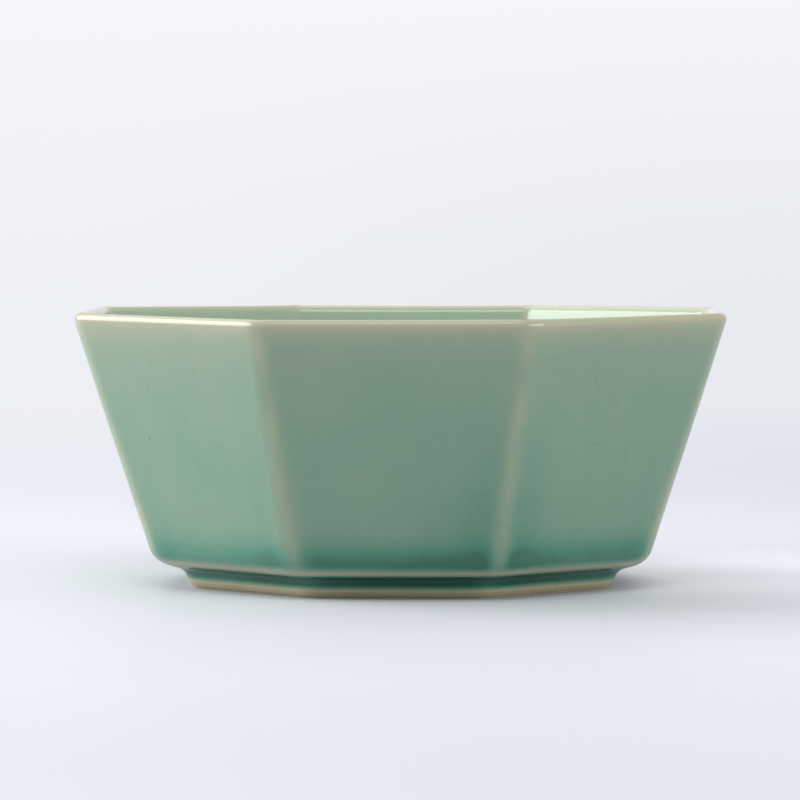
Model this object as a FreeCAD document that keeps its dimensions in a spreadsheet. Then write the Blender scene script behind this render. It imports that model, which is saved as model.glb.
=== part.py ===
import FreeCAD, Part
import math
import os

import Sketcher

# Octagonal celadon rice bowl on an octagonal foot ring.
# Frame: millimetres, +Z up, origin at the centre of the foot ring's resting face.
# Four walls stand square to the X and Y axes and four diagonal walls join them.

SIDES = 8
HALF_TURN = math.pi / SIDES
SKETCH_APOTHEM = 45.0
SKETCH_RADIUS = 3.0
LEVEL_TOLERANCE = 0.05

# Every octagon of a form has a height (z), a half width over the flats (a)
# and a corner radius (r). The diagonal flats sit nearer the axis by a fixed factor.
# The inside and under zones end within the clay and on the crest of the lip:
# they divide the glaze coat into the piece poured inside, the patch inside the foot
# ring and the piece dipped outside.
SHARED_SIZES = {
    "diagonal_factor": 0.993,
    "inside_floor_z": 6.8,
    "inside_floor_a": 46.0,
    "inside_top_z": 56.0,
    "inside_top_a": 62.02,
    "inside_r": 4.0,
    "under_z": 0.0,
    "under_a": 37.7,
    "under_r": 4.0,
    "under_height": 4.5,
}
# Fired clay, with a bare resting face. Sharp-cornered levels; the rounds come after.
CLAY_SIZES = {
    "foot_z": 0.0,
    "foot_a": 39.45,
    "foot_r": 6.0,
    "waist_z": 3.9,
    "waist_a": 41.25,
    "waist_r": 5.5,
    "belly_z": 5.35,
    "belly_a": 45.93,
    "belly_r": 4.5,
    "shoulder_z": 6.74,
    "shoulder_a": 47.15,
    "shoulder_r": 3.6,
    "rim_z": 52.2,
    "rim_a": 61.8,
    "rim_r": 3.0,
    "floor_z": 7.7,
    "floor_a": 45.25,
    "floor_r": 12.5,
    "mouth_a": 59.78,
    "mouth_r": 2.0,
    "recess_a": 36.0,
    "recess_r": 4.0,
    "ceiling_z": 3.3,
    "ceiling_a": 34.6,
    "ceiling_r": 4.0,
    "waist_round": 2.0,
    "belly_round": 3.4,
    "shoulder_round": 3.6,
    "floor_round": 9.0,
    "ceiling_round": 1.2,
    "lip_out_round": 0.7,
    "lip_in_round": 1.3,
    "foot_out_round": 0.4,
    "foot_in_round": 0.4,
}
# The same bowl with its glaze on. The glaze stops 0.5 above the resting face,
# is thin on the ridges and the lip, and thick on the floor and under the belly.
GLAZED_SIZES = {
    "foot_z": 0.5,
    "foot_a": 40.12,
    "foot_r": 6.8,
    "waist_z": 3.55,
    "waist_a": 41.7,
    "waist_r": 6.2,
    "belly_z": 4.85,
    "belly_a": 46.06,
    "belly_r": 5.5,
    "shoulder_z": 6.74,
    "shoulder_a": 47.73,
    "shoulder_r": 5.0,
    "rim_z": 52.4,
    "rim_a": 62.25,
    "rim_r": 5.0,
    "floor_z": 8.4,
    "floor_a": 44.9,
    "floor_r": 13.0,
    "mouth_a": 59.35,
    "mouth_r": 1.6,
    "recess_a": 35.35,
    "recess_r": 3.7,
    "ceiling_z": 2.95,
    "ceiling_a": 34.25,
    "ceiling_r": 3.7,
    "waist_round": 2.6,
    "belly_round": 4.6,
    "shoulder_round": 5.0,
    "floor_round": 9.5,
    "ceiling_round": 1.5,
    "lip_out_round": 1.0,
    "lip_in_round": 1.95,
}


def fill_sheet(doc):
    """Put every driving size in one spreadsheet, one aliased row each."""
    rows = dict(SHARED_SIZES)
    rows.update({f"clay_{name}": value for name, value in CLAY_SIZES.items()})
    rows.update({f"glazed_{name}": value for name, value in GLAZED_SIZES.items()})
    sheet = doc.addObject("Spreadsheet::Sheet", "Sizes")
    for row, (name, value) in enumerate(rows.items(), start=1):
        sheet.set(f"A{row}", name)
        sheet.set(f"B{row}", f"{value:g}")
        sheet.setAlias(f"B{row}", name)
    doc.recompute()
    return sheet


def ground_plane(body):
    """The body's own horizontal origin plane."""
    for feature in body.Origin.OriginFeatures:
        if feature.Role == "XY_Plane":
            return feature
    raise RuntimeError(f"{body.Name} has no XY plane")


def draw_octagon(sketch):
    """Eight flats and eight corner arcs, drawn anticlockwise from the +X flat."""
    flats = []
    corners = []
    reach = (SKETCH_APOTHEM - SKETCH_RADIUS) * math.tan(HALF_TURN)
    for side in range(SIDES):
        angle = 2 * HALF_TURN * side
        normal = FreeCAD.Vector(math.cos(angle), math.sin(angle), 0)
        along = FreeCAD.Vector(-math.sin(angle), math.cos(angle), 0)
        start = normal * SKETCH_APOTHEM - along * reach
        end = normal * SKETCH_APOTHEM + along * reach
        flats.append(sketch.addGeometry(Part.LineSegment(start, end), False))
        centre = end - normal * SKETCH_RADIUS
        circle = Part.Circle(centre, FreeCAD.Vector(0, 0, 1), SKETCH_RADIUS)
        arc = Part.ArcOfCircle(circle, angle, angle + 2 * HALF_TURN)
        corners.append(sketch.addGeometry(arc, False))
    return flats, corners


def constrain_octagon(sketch, flats, corners):
    """Tangent corners of one radius, and a direction and a distance for every flat."""
    for side in range(SIDES):
        following = (side + 1) % SIDES
        sketch.addConstraint(Sketcher.Constraint("Tangent", flats[side], 2, corners[side], 1))
        sketch.addConstraint(Sketcher.Constraint("Tangent", corners[side], 2, flats[following], 1))
        direction = math.pi / 2 + 2 * HALF_TURN * side
        sketch.addConstraint(Sketcher.Constraint("Angle", flats[side], direction))
        distance = Sketcher.Constraint("Distance", -1, 1, flats[side], SKETCH_APOTHEM)
        sketch.renameConstraint(sketch.addConstraint(distance), f"flat_{side}")
    for corner in corners[1:]:
        sketch.addConstraint(Sketcher.Constraint("Equal", corners[0], corner))
    radius = Sketcher.Constraint("Radius", corners[0], SKETCH_RADIUS)
    sketch.renameConstraint(sketch.addConstraint(radius), "corner")


def octagon(body, name, height, apothem, radius):
    """A rounded octagon sketch at one height, sized by spreadsheet names."""
    sketch = body.newObject("Sketcher::SketchObject", f"{body.Name}_{name}")
    sketch.AttachmentSupport = (ground_plane(body), [""])
    sketch.MapMode = "FlatFace"
    sketch.setExpression("AttachmentOffset.Base.z", f"Sizes.{height}")
    flats, corners = draw_octagon(sketch)
    constrain_octagon(sketch, flats, corners)
    sketch.setExpression("Constraints.corner", f"Sizes.{radius}")
    for side in range(SIDES):
        factor = " * Sizes.diagonal_factor" if side % 2 else ""
        sketch.setExpression(f"Constraints.flat_{side}", f"Sizes.{apothem}{factor}")
    sketch.Visibility = False
    return sketch


def loft(body, name, sketches, kind):
    """A straight-sided loft through the sketches, from the first to the last."""
    feature = body.newObject(f"PartDesign::{kind}", f"{body.Name}_{name}")
    feature.Profile = sketches[0]
    feature.Sections = sketches[1:]
    feature.Ruled = True
    body.Document.recompute()
    return feature


def half_width(point):
    """Distance from the axis measured square to the nearest octagon side."""
    turns = [2 * HALF_TURN * side for side in range(SIDES)]
    return max(point.x * math.cos(turn) + point.y * math.sin(turn) for turn in turns)


def octagon_edges(shape, height, apothem, radius):
    """Names of the sixteen edges of the octagon with this height, half width and radius."""
    nearest = SHARED_SIZES["diagonal_factor"] * apothem - (1 - math.cos(HALF_TURN)) * radius
    names = []
    for number, edge in enumerate(shape.Edges, start=1):
        box = edge.BoundBox
        middle = edge.valueAt((edge.FirstParameter + edge.LastParameter) / 2)
        flat = box.ZMax - box.ZMin < LEVEL_TOLERANCE
        at_height = abs(middle.z - height) < LEVEL_TOLERANCE
        reach = half_width(middle)
        if flat and at_height and nearest - LEVEL_TOLERANCE < reach < apothem + LEVEL_TOLERANCE:
            names.append(f"Edge{number}")
    return names


def round_loop(body, prefix, name, sizes, level, opening):
    """Fillet one octagon of edges, with its radius from the spreadsheet."""
    base = body.Tip
    edges = octagon_edges(base.Shape, sizes[level], sizes[f"{opening}_a"], sizes[f"{opening}_r"])
    if len(edges) != 2 * SIDES:
        raise RuntimeError(f"{name} found {len(edges)} edges on {body.Name}")
    feature = body.newObject("PartDesign::Fillet", f"{body.Name}_{name}")
    feature.Base = (base, edges)
    feature.setExpression("Radius", f"Sizes.{prefix}_{name}")
    body.Document.recompute()
    if "Invalid" in feature.State or not feature.Shape.isValid():
        raise RuntimeError(f"{name} failed on {body.Name}")
    return feature


def level_octagon(body, prefix, level, opening=None):
    """The octagon of a named level; its half width may belong to another opening."""
    opening = opening or level
    return octagon(body, opening, f"{prefix}_{level}_z", f"{prefix}_{opening}_a", f"{prefix}_{opening}_r")


def bowl_form(doc, label, prefix, sizes):
    """One whole bowl form: lofted outside, hollow inside, recess under the base, rounds."""
    body = doc.addObject("PartDesign::Body", label)
    rising = ("foot", "waist", "belly", "shoulder", "rim")
    outside = [level_octagon(body, prefix, level) for level in rising]
    hollow = [level_octagon(body, prefix, "floor"), level_octagon(body, prefix, "rim", "mouth")]
    recess = [level_octagon(body, prefix, "foot", "recess"), level_octagon(body, prefix, "ceiling")]
    doc.recompute()
    loft(body, "outside", outside, "AdditiveLoft")
    loft(body, "hollow", hollow, "SubtractiveLoft")
    loft(body, "foot_recess", recess, "SubtractiveLoft")
    loops = (
        ("waist_round", "waist_z", "waist"),
        ("belly_round", "belly_z", "belly"),
        ("shoulder_round", "shoulder_z", "shoulder"),
        ("floor_round", "floor_z", "floor"),
        ("ceiling_round", "ceiling_z", "ceiling"),
        ("lip_out_round", "rim_z", "rim"),
        ("lip_in_round", "rim_z", "mouth"),
    )
    for name, level, opening in loops:
        round_loop(body, prefix, name, sizes, level, opening)
    return body


def round_foot(body):
    """Soften both bare edges of the clay's resting face."""
    for name, opening in (("foot_out_round", "foot"), ("foot_in_round", "recess")):
        round_loop(body, "clay", name, CLAY_SIZES, "foot_z", opening)


def inside_zone(doc):
    """Everything inside the middle of the wall, from within the floor to above the lip."""
    body = doc.addObject("PartDesign::Body", "inside_zone")
    floor = octagon(body, "low", "inside_floor_z", "inside_floor_a", "inside_r")
    top = octagon(body, "high", "inside_top_z", "inside_top_a", "inside_r")
    doc.recompute()
    loft(body, "zone", [floor, top], "AdditiveLoft")
    return body


def under_zone(doc):
    """The room inside the middle of the foot ring."""
    body = doc.addObject("PartDesign::Body", "under_zone")
    sketch = octagon(body, "outline", "under_z", "under_a", "under_r")
    doc.recompute()
    pad = body.newObject("PartDesign::Pad", "under_zone_pad")
    pad.Profile = sketch
    pad.setExpression("Length", "Sizes.under_height")
    doc.recompute()
    return body


def combine(doc, kind, label, base, tool):
    """A Part boolean of two objects."""
    result = doc.addObject(f"Part::{kind}", label)
    result.Base = base
    result.Tool = tool
    doc.recompute()
    return result


def build(doc):
    """The clay and its three pieces of glaze, all in the bowl's own frame."""
    fill_sheet(doc)
    clay = bowl_form(doc, "clay_body", "clay", CLAY_SIZES)
    round_foot(clay)
    glazed = bowl_form(doc, "glazed_form", "glazed", GLAZED_SIZES)
    inside = inside_zone(doc)
    under = under_zone(doc)
    coat = combine(doc, "Cut", "whole_coat", glazed, clay)
    inner = combine(doc, "Common", "inner_glaze", coat, inside)
    base = combine(doc, "Common", "base_glaze", coat, under)
    outside_coat = combine(doc, "Cut", "coat_outside_lip", coat, inside)
    outer = combine(doc, "Cut", "outer_glaze", outside_coat, under)
    return (clay, outer, inner, base)


def check(doc, parts):
    """Stop on any failed object, or on a sub-part that is empty, broken or not one solid."""
    for item in doc.Objects:
        if "Invalid" in item.State or "Error" in item.State:
            raise RuntimeError(f"{item.Name} is {item.State}")
    for item in parts:
        shape = item.Shape
        if shape.isNull() or not shape.isValid() or len(shape.Solids) != 1:
            raise RuntimeError(f"{item.Label} is not one sound solid")


def export(parts):
    """One STEP file per sub-part, named by its label."""
    os.makedirs("parts", exist_ok=True)
    for item in parts:
        item.Shape.exportStep(f"parts/{item.Label}.step")


document = FreeCAD.newDocument("rice_bowl")
bowl_parts = build(document)
document.recompute()
check(document, bowl_parts)
export(bowl_parts)
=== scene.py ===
import math
from collections import namedtuple

import bmesh
import bpy
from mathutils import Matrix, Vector, noise


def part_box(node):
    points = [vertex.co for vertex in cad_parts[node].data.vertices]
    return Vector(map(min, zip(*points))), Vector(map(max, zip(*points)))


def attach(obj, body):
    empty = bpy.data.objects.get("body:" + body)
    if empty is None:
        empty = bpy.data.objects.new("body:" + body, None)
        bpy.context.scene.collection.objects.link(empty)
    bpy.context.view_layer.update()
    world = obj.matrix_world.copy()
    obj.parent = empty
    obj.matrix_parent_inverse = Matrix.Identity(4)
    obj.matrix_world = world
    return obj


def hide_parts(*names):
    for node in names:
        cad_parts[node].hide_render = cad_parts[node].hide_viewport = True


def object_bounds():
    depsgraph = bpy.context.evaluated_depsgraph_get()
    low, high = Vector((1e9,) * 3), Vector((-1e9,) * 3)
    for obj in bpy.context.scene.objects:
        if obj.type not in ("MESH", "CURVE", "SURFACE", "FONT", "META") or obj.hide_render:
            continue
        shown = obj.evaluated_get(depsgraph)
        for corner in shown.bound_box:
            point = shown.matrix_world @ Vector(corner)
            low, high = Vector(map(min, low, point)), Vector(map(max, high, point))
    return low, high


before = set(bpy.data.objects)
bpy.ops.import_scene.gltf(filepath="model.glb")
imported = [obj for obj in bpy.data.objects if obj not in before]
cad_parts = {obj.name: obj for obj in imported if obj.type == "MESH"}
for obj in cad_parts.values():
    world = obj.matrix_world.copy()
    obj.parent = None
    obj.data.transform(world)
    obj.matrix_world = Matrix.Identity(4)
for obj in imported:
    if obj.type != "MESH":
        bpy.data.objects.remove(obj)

# Octagonal celadon rice bowl, in metres: +Z up, origin at the centre of the resting face.
# Four closed meshes: the fired clay and the three areas its glaze falls into.

CAD_LOW, CAD_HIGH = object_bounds()
MM = 0.001
SIDES = 8
HALF_TURN = math.pi / SIDES
DIAGONAL = 0.993  # the diagonal walls stand a little nearer the axis
FLAT_STEPS = 14
CORNER_STEPS = 10
CENTRE_HALF = 0.3 * MM  # how near the axis the rows come: they leave a pinhole there

RIM_TOP = CAD_HIGH.z
GLAZE_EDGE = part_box("outer_glaze")[0].z
CLAY_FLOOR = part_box("inner_glaze")[0].z
CLAY_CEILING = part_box("base_glaze")[1].z
CLAY_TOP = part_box("clay_body")[1].z

# A corner of an upright outline: half width over the flats, height, the round on the
# corner, the plan radius of the octagon there, and the segments leading up to it.
Corner = namedtuple("Corner", "half height round plan run")
Row = namedtuple("Row", "half height plan length")

ROUND_STEPS = 8
GLAZED_FOOT = (
    Corner(39.75 * MM, GLAZE_EDGE - 0.02 * MM, 0, 6.2 * MM, 1),
    Corner(40.16 * MM, GLAZE_EDGE - 0.05 * MM, 0.18 * MM, 6.8 * MM, 1),
)
GLAZED_OUTSIDE = (
    Corner(41.70 * MM, 3.55 * MM, 2.6 * MM, 6.2 * MM, 6),
    Corner(46.06 * MM, 4.85 * MM, 4.6 * MM, 7.0 * MM, 6),
    Corner(47.73 * MM, 6.74 * MM, 5.0 * MM, 7.0 * MM, 1),
)
GLAZED_LIP_OUT = Corner(62.25 * MM, RIM_TOP, 1.1 * MM, 7.2 * MM, 44)
GLAZED_LIP_IN = Corner(59.35 * MM, RIM_TOP, 1.85 * MM, 3.4 * MM, 2)
GLAZED_INSIDE = (
    Corner(44.90 * MM, CLAY_FLOOR + 0.7 * MM, 9.5 * MM, 13.0 * MM, 30),
    Corner(CENTRE_HALF, CLAY_FLOOR + 0.7 * MM, 0, 0, 20),
)
GLAZED_RECESS = (
    Corner(35.75 * MM, GLAZE_EDGE - 0.02 * MM, 0, 4.0 * MM, 1),
    Corner(35.35 * MM, GLAZE_EDGE - 0.05 * MM, 0.15 * MM, 3.7 * MM, 1),
    Corner(34.25 * MM, CLAY_CEILING - 0.35 * MM, 1.5 * MM, 3.7 * MM, 4),
    Corner(CENTRE_HALF, CLAY_CEILING - 0.35 * MM, 0, 0, 16),
)
GLAZE_SEAT = Corner(39.70 * MM, GLAZE_EDGE + 0.05 * MM, 0, 5.9 * MM, 1)
RECESS_SEAT = Corner(35.80 * MM, GLAZE_EDGE + 0.05 * MM, 0, 4.0 * MM, 1)
CLAY_UNDER = (
    Corner(CENTRE_HALF, CLAY_CEILING, 0, 0, 1),
    Corner(34.60 * MM, CLAY_CEILING, 1.2 * MM, 4.0 * MM, 16),
    Corner(36.00 * MM, 0, 0.4 * MM, 4.0 * MM, 4),
    Corner(39.45 * MM, 0, 0.4 * MM, 6.0 * MM, 4),
)
CLAY_OUTSIDE = (
    Corner(41.25 * MM, 3.90 * MM, 2.0 * MM, 5.5 * MM, 5),
    Corner(45.93 * MM, 5.35 * MM, 3.4 * MM, 6.4 * MM, 3),
    Corner(47.15 * MM, 6.74 * MM, 3.6 * MM, 5.6 * MM, 1),
)
CLAY_LIP_OUT = Corner(61.80 * MM, CLAY_TOP, 0.7 * MM, 5.0 * MM, 30)
CLAY_LIP_IN = Corner(59.78 * MM, CLAY_TOP, 1.3 * MM, 4.0 * MM, 2)
CLAY_INSIDE = (
    Corner(45.25 * MM, CLAY_FLOOR, 9.0 * MM, 12.5 * MM, 30),
    Corner(CENTRE_HALF, CLAY_FLOOR, 0, 0, 20),
)


def mixed(first, second, share):
    return first + (second - first) * share


def eased(share):
    """Steps that are finer at both ends of a run."""
    return (1 - math.cos(math.pi * share)) / 2


def rounded_corner(before, here, after):
    """Points of the arc that rounds one corner of an outline."""
    spot = Vector((here.half, here.height))
    back = (Vector((before.half, before.height)) - spot).normalized()
    ahead = (Vector((after.half, after.height)) - spot).normalized()
    half_angle = back.angle(ahead) / 2
    centre = spot + (back + ahead).normalized() * (here.round / math.sin(half_angle))
    entry = spot + back * (here.round / math.tan(half_angle)) - centre
    sense = 1 if back.x * ahead.y - back.y * ahead.x < 0 else -1
    total = sense * (math.pi - 2 * half_angle)
    points = []
    for step in range(ROUND_STEPS + 1):
        turn = total * step / ROUND_STEPS
        x = entry.x * math.cos(turn) - entry.y * math.sin(turn)
        y = entry.x * math.sin(turn) + entry.y * math.cos(turn)
        points.append(centre + Vector((x, y)))
    return points


def outline(*corners):
    """Rows of half width, height, plan radius and length along the rounded outline."""
    points = []
    for i, corner in enumerate(corners):
        if corner.round and 0 < i < len(corners) - 1:
            arc = rounded_corner(corners[i - 1], corner, corners[i + 1])
        else:
            arc = [Vector((corner.half, corner.height))]
        if i:
            start, plan = points[-1]
            for step in range(1, corner.run):
                share = eased(step / corner.run)
                points.append((start.lerp(arc[0], share), plan + (corner.plan - plan) * share))
        points += [(point, corner.plan) for point in arc]
    rows = []
    length = 0
    for i, (point, plan) in enumerate(points):
        if i:
            length += (point - points[i - 1][0]).length
        rows.append(Row(point.x, point.y, plan, length))
    return rows


def side_normal(side):
    """Outward direction of one of the octagon's sides; side 0 faces +X."""
    angle = 2 * HALF_TURN * side
    return Vector((math.cos(angle), math.sin(angle)))


def side_distance(side, half):
    return half * (DIAGONAL if side % 2 else 1)


def corner_centre(side, half, plan):
    """Centre of the plan arc between a side and the next one."""
    first = side_distance(side, half) - plan
    second = side_distance(side + 1, half) - plan
    cosine = math.cos(2 * HALF_TURN)
    along_first = (first - second * cosine) / (1 - cosine ** 2)
    along_second = (second - first * cosine) / (1 - cosine ** 2)
    return side_normal(side) * along_first + side_normal(side + 1) * along_second


def ring(row):
    """Plan points of one octagon with rounded corners, each with its distance from a ridge."""
    plan = min(row.plan, 0.8 * row.half)
    points = []
    for side in range(SIDES):
        normal = side_normal(side)
        begin = corner_centre(side - 1, row.half, plan) + normal * plan
        centre = corner_centre(side, row.half, plan)
        end = centre + normal * plan
        half_arc = plan * HALF_TURN
        for step in range(FLAT_STEPS):
            share = eased(step / FLAT_STEPS)
            point = begin.lerp(end, share)
            nearest = min(share, 1 - share) * (end - begin).length
            points.append((point, nearest + half_arc))
        for step in range(CORNER_STEPS):
            share = step / CORNER_STEPS
            angle = 2 * HALF_TURN * (side + share)
            arm = Vector((math.cos(angle), math.sin(angle))) * plan
            points.append((centre + arm, abs(1 - 2 * share) * half_arc))
    return points


COLUMNS = SIDES * (FLAT_STEPS + CORNER_STEPS)
WOBBLE_SIZE = 45 * MM
WOBBLE = 0.16 * MM
WOBBLE_PLACE = Vector((3.1, 7.7, 1.9))
noise.seed_set(1)  # without it noise_vector differs from run to run
STEADY_HEIGHT = 4 * MM  # the wobble fades out below this, down to the resting face
SIDE_LIFT = 0.3 * MM  # the rim warped in the kiln: it stands higher at +X and -X
LEVEL_FLOOR = 20 * MM  # the middle of the bowl doesn't lift


def handmade(point):
    """A slight unevenness of the whole form, none of it on the resting face."""
    drift = noise.noise_vector(point / WOBBLE_SIZE + WOBBLE_PLACE)
    rise = min(point.z / STEADY_HEIGHT, 1)
    turn = math.atan2(point.y, point.x)
    lift = SIDE_LIFT * (1 + math.cos(2 * turn)) * (point.z / RIM_TOP) ** 2
    if point.xy.length < LEVEL_FLOOR:
        lift = 0
    return point + drift * WOBBLE * rise + Vector((0, 0, lift))


CHART_CENTRE = (0.5, 0.5)
CHART_RADIUS = 0.49
HIDDEN_CENTRE = (0.03, 0.03)
HIDDEN_RADIUS = 0.02
HIDDEN_INNERMOST = 0.3  # the first row's share of that radius


def chart_radii(shown, hidden):
    """Radius on its round texture chart of each shown row, then of each row.

    The shown rows keep their distance from the axis, measured along the surface, on a large
    chart. All the rows share a small chart, for the faces that other pieces cover.
    """
    outwards = shown[0].half < shown[-1].half
    nearest = shown[0] if outwards else shown[-1]
    reach = [nearest.half + abs(row.length - nearest.length) for row in shown]
    large = [CHART_RADIUS * distance / max(reach) for distance in reach]
    count = len(shown) + len(hidden)
    small = [HIDDEN_RADIUS * mixed(HIDDEN_INNERMOST, 1, index / count) for index in range(count)]
    return large, small


def spot_on_chart(centre, radius, column):
    turn = 2 * math.pi * column / COLUMNS
    return (centre[0] + radius * math.cos(turn), centre[1] + radius * math.sin(turn))


def build_piece(name, shown, hidden, depth_of):
    """A closed mesh from its shown rows, in order, and the hidden rows that lead back again."""
    rows = shown + hidden
    points = []
    depths = []
    for index, row in enumerate(rows):
        for spot, ridge in ring(row):
            point = Vector((spot.x, spot.y, row.height))
            points.append(handmade(point))
            depths.append(depth_of(row, ridge, point) if index < len(shown) else 0)

    large, small = chart_radii(shown, hidden)
    faces = []
    charts = []
    for low in range(len(rows)):
        high = (low + 1) % len(rows)
        seen = low < len(shown) - 1
        centre, radii = (CHART_CENTRE, large) if seen else (HIDDEN_CENTRE, small)
        for column in range(COLUMNS):
            beside = (column + 1) % COLUMNS
            corners = ((low, column), (low, beside), (high, beside), (high, column))
            faces.append([k * COLUMNS + j for k, j in corners])
            spots = ((low, column), (low, column + 1), (high, column + 1), (high, column))
            charts.append([spot_on_chart(centre, radii[k], j) for k, j in spots])
    return finish_mesh(name, points, faces, charts, depths, (0, len(shown) - 1))


def finish_mesh(name, points, faces, charts, depths, borders):
    """The Blender object: smooth but for its borders, with its texture chart and glaze depth."""
    mesh = bpy.data.meshes.new(name)
    mesh.from_pydata([tuple(point) for point in points], [], faces)
    layer = mesh.uv_layers.new(name="OFBake")
    layer.data.foreach_set("uv", [value for chart in charts for spot in chart for value in spot])
    attribute = mesh.attributes.new("glaze_depth", "FLOAT", "POINT")
    attribute.data.foreach_set("value", depths)
    shaped = bmesh.new()
    shaped.from_mesh(mesh)
    bmesh.ops.recalc_face_normals(shaped, faces=shaped.faces)
    for face in shaped.faces:
        face.smooth = True
    for edge in shaped.edges:
        first, second = (vertex.index // COLUMNS for vertex in edge.verts)
        edge.smooth = not (first == second and first in borders)
    shaped.to_mesh(mesh)
    shaped.free()
    made = bpy.data.objects.new(name, mesh)
    bpy.context.scene.collection.objects.link(made)
    return made


def bell(value, middle, width):
    """1 in the middle, falling away to either side."""
    return math.exp(-((value - middle) / width) ** 2)


def smooth(value, low, high):
    """0 below low, 1 above high, and a smooth step between; low may be the larger."""
    share = min(max((value - low) / (high - low), 0), 1)
    return share * share * (3 - 2 * share)


# Glaze depths run from 0, bare clay, to 1, the deepest pool: see CELADON.
FACE_DEPTH = 0.61
LIP_LOSS = 0.48
LIP_REACH = 2.7 * MM
LIP_FALL = 2.4
LIP_TAIL_SHARE = 0.16
LIP_TAIL_REACH = 15 * MM
RIDGE_LOSS = (0.10, 0.16)  # near the lip and near the foot, like the two widths
RIDGE_WIDTH = (1.6 * MM, 2.1 * MM)
RIDGE_CHANGE = (46, 8)  # heights where one gives way to the other, in millimetres from the foot
RIDGE_FROM_CREST = (1 * MM, 6 * MM)  # the lip's own thinning covers the ridges nearer than this
BESIDE_RIDGE = 6.0 * MM
BESIDE_WIDTH = 3.2 * MM
BESIDE_FADE = (36, 12)
BESIDE_GAIN = 0.03
THICK_RIDGE = -3 * HALF_TURN  # the glaze ran a little thicker down the wall beside this ridge
THICK_WIDTH = 0.13  # radians about the axis
THICK_FADE = (44, 16)
THICK_GAIN = 0.10
POOL_HEIGHT = 6.9
POOL_WIDTH_BELOW, POOL_WIDTH_ABOVE = 1.1, 3.6
POOL_RIDGE_LOSS = 0.6
POOL_GAIN = 0.29
ASIDE_FROM, ASIDE_TO = 22 * MM, 34 * MM  # the left and right walls, where the pool and groove are painted lighter: painted light from the lamps on those sides
# Painted light: the pool, its deepest cap and the groove are made lighter on the left and right walls, more
# so on the left.
POOL_PAINTED_LIGHT_LEFT, POOL_PAINTED_LIGHT_RIGHT = 0.095, 0.04
DEEPEST_FRONT, DEEPEST_ASIDE_PAINTED_LIGHT = 0.90, 0.84
BELLY_EDGE, BELLY_EDGE_WIDTH, BELLY_EDGE_DEPTH = 5.1, 0.5, 0.22
GROOVE_FOOT, GROOVE_BELLY = (1.6, 2.7), (4.8, 4.1)  # heights where the groove begins and ends
# The groove under the belly gets the darkest depth of all: partly pooled glaze, partly painted shade under
# the belly's overhang.
GROOVE_DEPTH_AND_SHADE = 1.0
GROOVE_RIDGE_LOSS, GROOVE_ASIDE_PAINTED_LIGHT = 0.08, 0.07
FOOT_FADE = (2.2, 1.2)
FOOT_DEPTH = 0.04
INSIDE_LIP_LOSS = 0.45
INSIDE_LIP_PACE = 1.6
INSIDE_RIDGE_LOSS, INSIDE_RIDGE_WIDTH, INSIDE_RIDGE_FADE = 0.10, 1.5 * MM, (14, 30)
INSIDE_FLOOR_GAIN, INSIDE_FLOOR_FADE = 0.16, (24, 9)
RECESS_CORNER, RECESS_CORNER_WIDTH, RECESS_CORNER_GAIN = 33.5 * MM, 1.2 * MM, 0.25
RECESS_EDGE_DEPTH, RECESS_EDGE_FADE = 0.2, (34.6 * MM, 35.3 * MM)


def lip_share(length):
    """How far the glaze has run off the lip, this far down from its crest."""
    near = (1 - LIP_TAIL_SHARE) / (1 + (length / LIP_REACH) ** LIP_FALL)
    return near + LIP_TAIL_SHARE * math.exp(-length / LIP_TAIL_REACH)


def uneven(point, size, seed):
    """Slow noise about 1, for features that come and go along the bowl."""
    return 1 + noise.noise(point / size + Vector((seed, 2 * seed, 3 * seed)))


def outside_depth(row, ridge, point):
    """Thin on the lip, the ridges, the belly's lower edge and the foot; pooled above the belly; darkest in
    the groove below it, partly pooled glaze and partly painted shade.
    """
    z = row.height / MM
    from_crest = CREST_LENGTH - row.length
    low = smooth(z, *RIDGE_CHANGE)
    # 1 on the left and right walls, where the pool and groove get painted light: they are made lighter
    # there.
    lit_side = smooth(abs(point.x), ASIDE_FROM, ASIDE_TO)
    on_ridge = bell(ridge, 0, mixed(*RIDGE_WIDTH, low)) * uneven(point, 9 * MM, 1.3)
    beside = bell(ridge, BESIDE_RIDGE, BESIDE_WIDTH) * uneven(point, 14 * MM, 4.1)
    beside *= smooth(z, *BESIDE_FADE)
    turn = math.atan2(point.y, point.x) - THICK_RIDGE
    runs = bell(turn, 0, THICK_WIDTH) * smooth(z, *THICK_FADE)
    pool_width = POOL_WIDTH_ABOVE if z > POOL_HEIGHT else POOL_WIDTH_BELOW
    pool = bell(z, POOL_HEIGHT, pool_width) * (1 - POOL_RIDGE_LOSS * min(on_ridge, 1))
    pool_gain = POOL_GAIN - (POOL_PAINTED_LIGHT_RIGHT if point.x > 0 else POOL_PAINTED_LIGHT_LEFT) * lit_side

    depth = FACE_DEPTH - LIP_LOSS * lip_share(from_crest)
    along_ridge = BESIDE_GAIN * beside - mixed(*RIDGE_LOSS, low) * on_ridge
    depth += along_ridge * smooth(from_crest, *RIDGE_FROM_CREST)
    depth += THICK_GAIN * runs + pool_gain * pool
    depth = min(depth, mixed(DEEPEST_FRONT, DEEPEST_ASIDE_PAINTED_LIGHT, lit_side))
    depth = mixed(depth, BELLY_EDGE_DEPTH, bell(z, BELLY_EDGE, BELLY_EDGE_WIDTH))
    # Painted shade: the groove is set to the darkest depth, partly for pooled glaze and partly for the
    # shade under the belly.
    groove = GROOVE_DEPTH_AND_SHADE - GROOVE_RIDGE_LOSS * on_ridge - GROOVE_ASIDE_PAINTED_LIGHT * lit_side
    depth = mixed(depth, groove, smooth(z, *GROOVE_FOOT) * smooth(z, *GROOVE_BELLY))
    return mixed(depth, FOOT_DEPTH, smooth(z, *FOOT_FADE))


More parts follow.
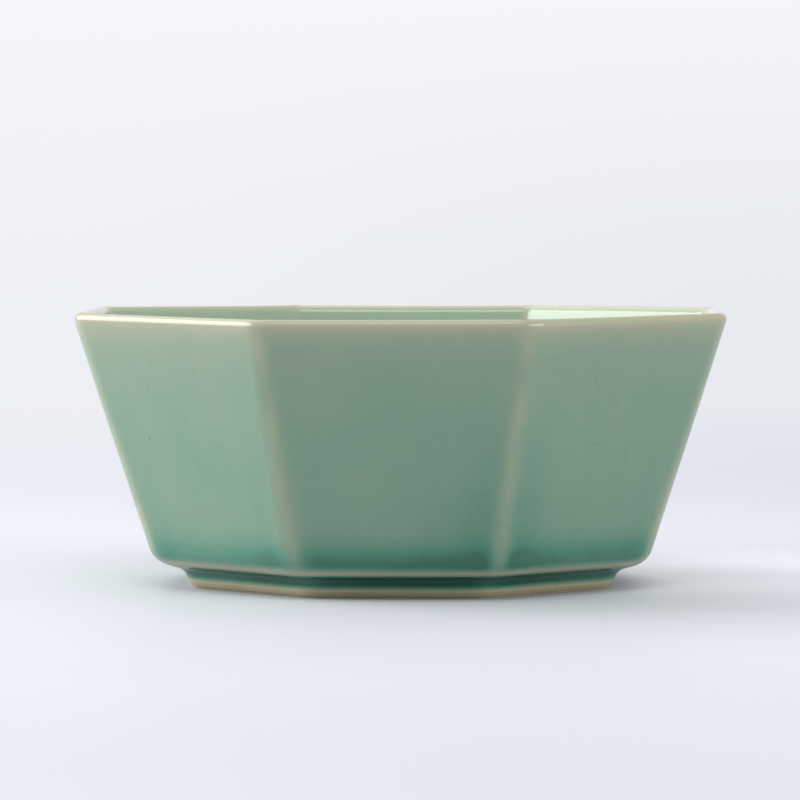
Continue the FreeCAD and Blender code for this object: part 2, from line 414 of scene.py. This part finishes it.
def inside_depth(row, ridge, point):
    """Thin on the lip, and gathered where the walls run into the floor."""
    z = row.height / MM
    depth = FACE_DEPTH - INSIDE_LIP_LOSS * lip_share(INSIDE_LIP_PACE * (row.length - CREST_LENGTH))
    depth -= INSIDE_RIDGE_LOSS * bell(ridge, 0, INSIDE_RIDGE_WIDTH) * smooth(z, *INSIDE_RIDGE_FADE)
    return depth + INSIDE_FLOOR_GAIN * smooth(z, *INSIDE_FLOOR_FADE)


def under_depth(row, ridge, point):
    """Even, and gathered in the corner between the foot ring and the base."""
    depth = FACE_DEPTH + RECESS_CORNER_GAIN * bell(row.half, RECESS_CORNER, RECESS_CORNER_WIDTH)
    return mixed(depth, RECESS_EDGE_DEPTH, smooth(row.half, *RECESS_EDGE_FADE))


def clay_depth(row, ridge, point):
    """Bare clay."""
    return 0.0


def crest_of(rows):
    """Index of the row at the top of the lip."""
    top = max(row.height for row in rows)
    level = [index for index, row in enumerate(rows) if row.height > top - 0.001 * MM]
    return level[len(level) // 2]


BARE_BELOW = 2.0 * MM

glazed_rows = outline(*GLAZED_FOOT, *GLAZED_OUTSIDE, GLAZED_LIP_OUT, GLAZED_LIP_IN, *GLAZED_INSIDE)
coated_rows = outline(GLAZE_SEAT, *CLAY_OUTSIDE, CLAY_LIP_OUT, CLAY_LIP_IN, *CLAY_INSIDE)
crest = crest_of(glazed_rows)
clay_crest = crest_of(coated_rows)
CREST_LENGTH = glazed_rows[crest].length
outer = build_piece("outer_glaze_coat", glazed_rows[:crest + 1], coated_rows[clay_crest::-1], outside_depth)
inner = build_piece("inner_glaze_coat", glazed_rows[crest:], coated_rows[:clay_crest - 1:-1], inside_depth)

recess_rows = outline(*GLAZED_RECESS)
roof_rows = outline(RECESS_SEAT, *CLAY_UNDER[1::-1])
base = build_piece("base_glaze_patch", recess_rows, roof_rows[::-1], under_depth)

clay_rows = outline(*CLAY_UNDER, *CLAY_OUTSIDE, CLAY_LIP_OUT, CLAY_LIP_IN, *CLAY_INSIDE)
bare_count = 1 + max(index for index, row in enumerate(clay_rows) if row.height < BARE_BELOW)
clay = build_piece("clay_form", clay_rows[:bare_count], clay_rows[bare_count:], clay_depth)

STANDS_FOR = (
    (clay, "clay_body", "fired_clay"),
    (outer, "outer_glaze", "outer_celadon"),
    (inner, "inner_glaze", "inner_celadon"),
    (base, "base_glaze", "base_celadon"),
)
for piece, node, slot in STANDS_FOR:
    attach(piece, "root")
    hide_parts(node)


# Materials.


class Nodes:
    """A short way to lay out one node tree."""

    def __init__(self, tree):
        self.tree = tree
        tree.nodes.clear()

    def add(self, kind, inputs=None, **settings):
        node = self.tree.nodes.new(kind)
        for key, value in settings.items():
            setattr(node, key, value)
        for key, value in (inputs or {}).items():
            if isinstance(value, bpy.types.NodeSocket):
                self.tree.links.new(value, node.inputs[key])
            else:
                node.inputs[key].default_value = value
        return node

    def math(self, operation, first, second=0.5, third=0.5, clamp=False):
        node = self.add("ShaderNodeMath", {0: first, 1: second, 2: third}, operation=operation)
        node.use_clamp = clamp
        return node.outputs[0]

    def span(self, value, low, high, to_low=0.0, to_high=1.0):
        """A value mapped smoothly from one range to another."""
        inputs = {"Value": value, "From Min": low, "From Max": high, "To Min": to_low, "To Max": to_high}
        return self.add("ShaderNodeMapRange", inputs, interpolation_type="SMOOTHSTEP").outputs["Result"]

    def grain(self, place, size, detail=2.0):
        """Noise whose features are about the given size, from 0 to 1."""
        inputs = {"Vector": place, "Scale": 1 / size, "Detail": detail}
        return self.add("ShaderNodeTexNoise", inputs).outputs["Fac"]

    def ramp(self, value, stops):
        node = self.add("ShaderNodeValToRGB", {"Fac": value})
        points = node.color_ramp.elements
        while len(points) < len(stops):
            points.new(0.5)
        for point, (position, colour) in zip(points, stops):
            point.position = position
            point.color = (*colour, 1)
        return node.outputs["Color"]

    def blend(self, first, second, share, mode="MIX"):
        node = self.add("ShaderNodeMix", data_type="RGBA", blend_type=mode)
        pairs = (("Factor", share), ("A", first), ("B", second))
        for name, value in pairs:
            socket = [s for s in node.inputs if s.name == name and s.enabled][0]
            if isinstance(value, bpy.types.NodeSocket):
                self.tree.links.new(value, socket)
            else:
                socket.default_value = value if name == "Factor" else (*value, 1)
        return [s for s in node.outputs if s.enabled][0]


# Glaze colour from bare clay showing through to the deepest pool.
CELADON = (
    (0.00, (0.465, 0.39, 0.23)),
    (0.15, (0.62, 0.59, 0.40)),
    (0.36, (0.455, 0.50, 0.345)),
    (0.60, (0.252, 0.420, 0.296)),
    (0.80, (0.095, 0.32, 0.22)),
    (1.00, (0.018, 0.130, 0.082)),
)
GLAZE_TONE = 0.58
# The inside glaze is a lighter copy of the same celadon: painted light for the top lights falling into the
# bowl.
INNER_THIN_TONE_PAINTED_LIGHT, INNER_DEEP_TONE_PAINTED_LIGHT = 0.60, 0.86
GLAZE_IOR = 1.5
CRACK_COLOUR = (0.10, 0.15, 0.11)
CRACK_STRENGTH = 0.34
CRACK_CELL = 26 * MM
CRACK_HALF_WIDTH = 0.0042  # as a share of a cell
CRACK_BEND_SIZE = 16 * MM
CRACK_BEND = 9 * MM
SPECK_COLOUR = (0.06, 0.045, 0.03)
SPECK_STRENGTH = 0.8
SPECK_CELL = 9 * MM
SPECK_RARITY = 0.72
CLAY_PALE = (0.45, 0.37, 0.26)
CLAY_TOASTED = (0.29, 0.245, 0.155)
CLAY_DARK = (0.30, 0.22, 0.15)


def crackle(nodes, place):
    """Sparse, long, wavering hairlines, from 0 to 1."""
    warp = nodes.add("ShaderNodeTexNoise", {"Vector": place, "Scale": 1 / CRACK_BEND_SIZE, "Detail": 3.0})
    drift = nodes.add("ShaderNodeVectorMath", {0: warp.outputs["Color"]}, operation="SCALE")
    drift.inputs["Scale"].default_value = CRACK_BEND
    moved = nodes.add("ShaderNodeVectorMath", {0: place, 1: drift.outputs[0]}, operation="ADD")
    cells = nodes.add(
        "ShaderNodeTexVoronoi",
        {"Vector": moved.outputs[0], "Scale": 1 / CRACK_CELL},
        feature="DISTANCE_TO_EDGE",
    )
    line = nodes.span(cells.outputs["Distance"], 0.0, CRACK_HALF_WIDTH, 1.0, 0.0)
    shown = nodes.span(nodes.grain(place, 22 * MM), 0.52, 0.64)
    return nodes.math("MULTIPLY", line, shown)


def specks(nodes, place):
    """A few pinprick iron spots, from 0 to 1."""
    cells = nodes.add("ShaderNodeTexVoronoi", {"Vector": place, "Scale": 1 / SPECK_CELL})
    spot = nodes.span(cells.outputs["Distance"], 0.014, 0.026, 1.0, 0.0)
    rare = nodes.add("ShaderNodeSeparateColor", {0: cells.outputs["Color"]}).outputs[0]
    chosen = nodes.math("GREATER_THAN", rare, SPECK_RARITY)
    return nodes.math("MULTIPLY", spot, chosen)


def celadon(name, offset, thin_tone=GLAZE_TONE, deep_tone=GLAZE_TONE):
    """Glossy glaze, coloured by how deep it lies; offset moves its pattern, the tones darken it."""
    material = bpy.data.materials.new(name)
    material.use_nodes = True
    nodes = Nodes(material.node_tree)
    own = nodes.add("ShaderNodeTexCoord").outputs["Object"]
    place = nodes.add("ShaderNodeVectorMath", {0: own, 1: offset}, operation="ADD").outputs[0]
    depth = nodes.add("ShaderNodeAttribute", attribute_name="glaze_depth").outputs["Fac"]
    clouds = nodes.math("SUBTRACT", nodes.grain(place, 18 * MM, 3.0), 0.5)
    mottle = nodes.math("SUBTRACT", nodes.grain(place, 2.2 * MM, 2.0), 0.5)
    depth = nodes.math("MULTIPLY_ADD", clouds, 0.12, depth)
    depth = nodes.math("MULTIPLY_ADD", mottle, 0.04, depth)
    stops = []
    for stop, tone in CELADON:
        share = mixed(thin_tone, deep_tone, min(stop / FACE_DEPTH, 1))
        stops.append((stop, [share * part for part in tone]))
    colour = nodes.ramp(depth, stops)
    cracks = crackle(nodes, place)
    colour = nodes.blend(colour, CRACK_COLOUR, nodes.math("MULTIPLY", cracks, CRACK_STRENGTH))
    spots = nodes.math("MULTIPLY", specks(nodes, place), SPECK_STRENGTH)
    colour = nodes.blend(colour, SPECK_COLOUR, spots)
    roughness = nodes.span(nodes.grain(place, 7 * MM), 0.3, 0.7, 0.07, 0.13)
    waves = nodes.math("MULTIPLY", nodes.grain(place, 11 * MM, 1.0), 0.6)
    relief = nodes.math("SUBTRACT", waves, nodes.math("MULTIPLY", cracks, 0.08))
    bump = nodes.add("ShaderNodeBump", {"Height": relief, "Strength": 0.25, "Distance": 0.12 * MM})
    shader = nodes.add(
        "ShaderNodeBsdfPrincipled",
        {"Base Color": colour, "Roughness": roughness, "Normal": bump.outputs[0], "IOR": GLAZE_IOR},
    )
    nodes.add("ShaderNodeOutputMaterial", {"Surface": shader.outputs[0]})
    return material


def fired_clay():
    """Bare stoneware: matt, speckled, toasted where it meets the glaze."""
    material = bpy.data.materials.new("fired_clay")
    material.use_nodes = True
    nodes = Nodes(material.node_tree)
    place = nodes.add("ShaderNodeTexCoord").outputs["Object"]
    height = nodes.add("ShaderNodeSeparateXYZ", {0: place}).outputs["Z"]
    edge = nodes.math("MULTIPLY_ADD", nodes.grain(place, 5 * MM), 0.4 * MM, height)
    toasted = nodes.span(edge, 0.2 * MM, 0.65 * MM)
    colour = nodes.blend(CLAY_PALE, CLAY_TOASTED, toasted)
    body = nodes.span(nodes.grain(place, 1.1 * MM, 4.0), 0.3, 0.7)
    colour = nodes.blend(colour, CLAY_DARK, nodes.math("MULTIPLY", body, 0.4))
    grit = nodes.math("MULTIPLY", specks(nodes, place), 0.7)
    colour = nodes.blend(colour, SPECK_COLOUR, grit)
    fine = nodes.grain(place, 0.5 * MM, 3.0)
    bump = nodes.add("ShaderNodeBump", {"Height": fine, "Strength": 0.5, "Distance": 0.08 * MM})
    roughness = nodes.span(body, 0.0, 1.0, 0.72, 0.9)
    shader = nodes.add(
        "ShaderNodeBsdfPrincipled",
        {"Base Color": colour, "Roughness": roughness, "Normal": bump.outputs[0]},
    )
    nodes.add("ShaderNodeOutputMaterial", {"Surface": shader.outputs[0]})
    return material


clay.data.materials.append(fired_clay())
outer.data.materials.append(celadon("outer_celadon", (0.0, 0.0, 0.0)))
# Painted light: the inside gets higher tones than the outside, a lighter copy of one glaze.
inner_glaze = celadon("inner_celadon", (0.33, 0.17, 0.05), INNER_THIN_TONE_PAINTED_LIGHT, INNER_DEEP_TONE_PAINTED_LIGHT)
inner.data.materials.append(inner_glaze)
base.data.materials.append(celadon("base_celadon", (0.11, 0.43, 0.29)))


# Floor, light and camera.

FLOOR_RADIUS = 2.6
FLOOR_TONES = ((0.3, (0.503, 0.515, 0.547)), (0.7, (0.513, 0.525, 0.557)))
FLOOR_ROUGHNESS = 0.55
FLOOR_SPECULAR = 0.35
GLOW_CENTRE = (75 * MM, 20 * MM, 0)  # centre of a glowing patch on the floor: painted light that lightens the bowl's shadow beside it
GLOW_FAR, GLOW_NEAR = 0.12, 0.43
GLOW_FADE = 0.08


def stage_floor():
    """A pale floor that fades into the background well behind the bowl, and glows near it: painted light
    that lightens the bowl's shadow.
    """
    bpy.ops.mesh.primitive_circle_add(vertices=128, radius=FLOOR_RADIUS, fill_type="NGON")
    floor = bpy.context.object
    floor.name = "studio_floor"
    material = bpy.data.materials.new("studio_floor")
    material.use_nodes = True
    nodes = Nodes(material.node_tree)
    place = nodes.add("ShaderNodeTexCoord").outputs["Object"]
    distance = nodes.add("ShaderNodeVectorMath", {0: place}, operation="LENGTH").outputs["Value"]
    tone = nodes.ramp(nodes.grain(place, 60 * MM), FLOOR_TONES)
    # Painted light: the floor glows beside the bowl, most around GLOW_CENTRE, to lighten the bowl's shadow.
    # A faint glow spreads further out.
    beside = nodes.add("ShaderNodeVectorMath", {0: place, 1: GLOW_CENTRE}, operation="DISTANCE")
    patch = nodes.span(beside.outputs["Value"], 85 * MM, 25 * MM, GLOW_FAR, GLOW_NEAR)
    near = nodes.math("MULTIPLY", patch, nodes.span(distance, 37 * MM, 55 * MM))
    glow = nodes.math("SUBTRACT", near, nodes.span(distance, 0.15, 0.33, 0.0, GLOW_FADE))
    inputs = {
        "Base Color": tone,
        "Roughness": FLOOR_ROUGHNESS,
        "Specular IOR Level": FLOOR_SPECULAR,
        "Emission Color": tone,
        "Emission Strength": glow,
    }
    shader = nodes.add("ShaderNodeBsdfPrincipled", inputs)
    clear = nodes.add("ShaderNodeBsdfTransparent")
    fade = nodes.span(distance, 0.15, 0.9)
    both = nodes.add("ShaderNodeMixShader", {0: fade, 1: shader.outputs[0], 2: clear.outputs[0]})
    nodes.add("ShaderNodeOutputMaterial", {"Surface": both.outputs[0]})
    floor.data.materials.append(material)


def softbox(name, direction, distance, width, height, power):
    """A soft rectangular light that faces the bowl."""
    light = bpy.data.lights.new(name, "AREA")
    light.shape = "RECTANGLE"
    light.size = width
    light.size_y = height
    light.energy = power
    lamp = bpy.data.objects.new(name, light)
    away = Vector(direction).normalized()
    lamp.location = Vector((0, 0, RIM_TOP / 2)) + away * distance
    lamp.rotation_mode = "QUATERNION"
    lamp.rotation_quaternion = away.to_track_quat("Z", "Y")
    lamp.visible_camera = False
    bpy.context.scene.collection.objects.link(lamp)


AMBIENT = (0.67, 0.685, 0.71)
BACKDROP_LEFT = (0.855, 0.871, 0.905)
BACKDROP_RIGHT = (0.80, 0.823, 0.865)
BACKDROP_HIGH = (0.93, 0.922, 0.95)


def studio_world():
    """Soft light from all round, brighter from the plain backdrop behind the bowl."""
    world = bpy.data.worlds.new("studio")
    bpy.context.scene.world = world
    world.use_nodes = True
    nodes = Nodes(world.node_tree)
    toward = nodes.add("ShaderNodeSeparateXYZ", {0: nodes.add("ShaderNodeTexCoord").outputs["Generated"]})
    across, behind, up = (toward.outputs[axis] for axis in "XYZ")
    low_tone = nodes.blend(BACKDROP_LEFT, BACKDROP_RIGHT, nodes.span(across, -0.11, 0.05))
    tone = nodes.blend(low_tone, BACKDROP_HIGH, nodes.span(up, -0.03, 0.06))
    soft = nodes.blend(AMBIENT, BACKDROP_LEFT, nodes.span(behind, 0.60, 0.88))
    light = nodes.add("ShaderNodeBackground", {"Color": soft})
    seen = nodes.add("ShaderNodeBackground", {"Color": tone})
    direct = nodes.add("ShaderNodeLightPath").outputs["Is Camera Ray"]
    both = nodes.add("ShaderNodeMixShader", {0: direct, 1: light.outputs[0], 2: seen.outputs[0]})
    nodes.add("ShaderNodeOutputWorld", {"Surface": both.outputs[0]})


SOFTBOXES = (
    # name, direction from the bowl, distance, width, height, watts
    ("key_left", (-0.93, 0.12, 0.30), 1.25, 1.4, 0.95, 28.5),
    ("fill_right", (0.90, -0.40, 0.14), 1.6, 1.2, 0.9, 15),
    ("front_strip", (0.0, -0.60, 0.83), 1.5, 0.7, 0.45, 5),
    ("back_top", (-0.35, 0.45, 0.85), 1.3, 1.2, 0.9, 3),
)

CAMERA_AZIMUTH = math.radians(1.67)
CAMERA_DISTANCE = 0.9315
CAMERA_HEIGHT = 73.9 * MM
AIM = Vector((-0.6 * MM, 0, 35.4 * MM))
LENS = 216
SENSOR = 36

stage_floor()
for box in SOFTBOXES:
    softbox(*box)
studio_world()

camera = bpy.data.objects.new("camera", bpy.data.cameras.new("camera"))
bpy.context.scene.collection.objects.link(camera)
camera.data.lens = LENS
camera.data.sensor_width = SENSOR
camera.data.clip_start = 0.01
camera.data.clip_end = 20
camera.location = (
    CAMERA_DISTANCE * math.sin(CAMERA_AZIMUTH),
    -CAMERA_DISTANCE * math.cos(CAMERA_AZIMUTH),
    CAMERA_HEIGHT,
)
camera.rotation_mode = "QUATERNION"
camera.rotation_quaternion = (camera.location - AIM).to_track_quat("Z", "Y")
bpy.context.scene.camera = camera

bpy.context.scene.view_settings.view_transform = "Standard"
bpy.context.scene.view_settings.look = "None"
